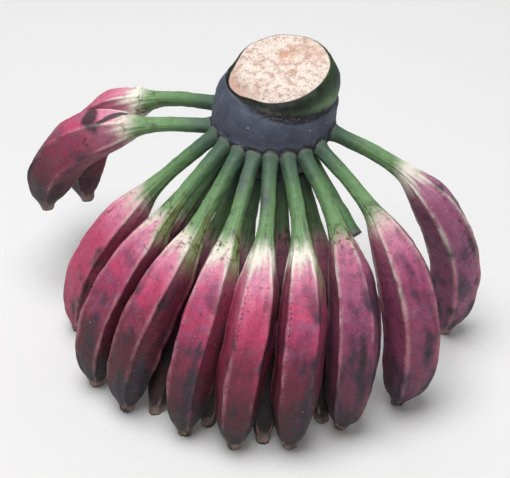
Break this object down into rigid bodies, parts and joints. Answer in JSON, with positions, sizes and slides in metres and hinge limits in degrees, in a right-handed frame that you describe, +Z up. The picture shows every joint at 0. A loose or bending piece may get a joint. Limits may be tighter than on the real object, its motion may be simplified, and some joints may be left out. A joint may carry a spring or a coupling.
{
  "type": "lady finger banana",
  "caption": "Cut hand of curved red-purple lady finger bananas on green stems, joined at a grey crown on a short stalk and standing on the finger tips.",
  "frame": {"origin": "middle of the hand's footprint, on the floor that its finger tips stand on", "axes": "+Z up, +X along the spread of the fingers, -Y to the front, where the fruit fans out"},
  "size_m": [0.2626, 0.1958, 0.1819],
  "materials": {
    "crown": "waxy grey-violet skin with a fibrous cream cut face",
    "peel": "satin red-purple peel, green towards the stem",
    "pedicel": "satin green stem with a dry brown end"
  },
  "bodies": {
    "root": {"stalk_and_crown": "crown", "banana_upper_01": "peel", "banana_upper_02": "peel", "banana_upper_03": "peel", "banana_upper_04": "peel", "banana_upper_05": "peel", "banana_upper_06": "peel", "banana_upper_07": "peel", "banana_upper_08": "peel", "banana_upper_09": "peel", "banana_upper_10": "peel", "banana_upper_11": "peel", "banana_lower_01": "peel", "banana_lower_02": "peel", "banana_lower_03": "peel", "banana_lower_04": "peel", "banana_lower_05": "peel", "pedicel_stub": "pedicel"}
  },
  "joints": []
}
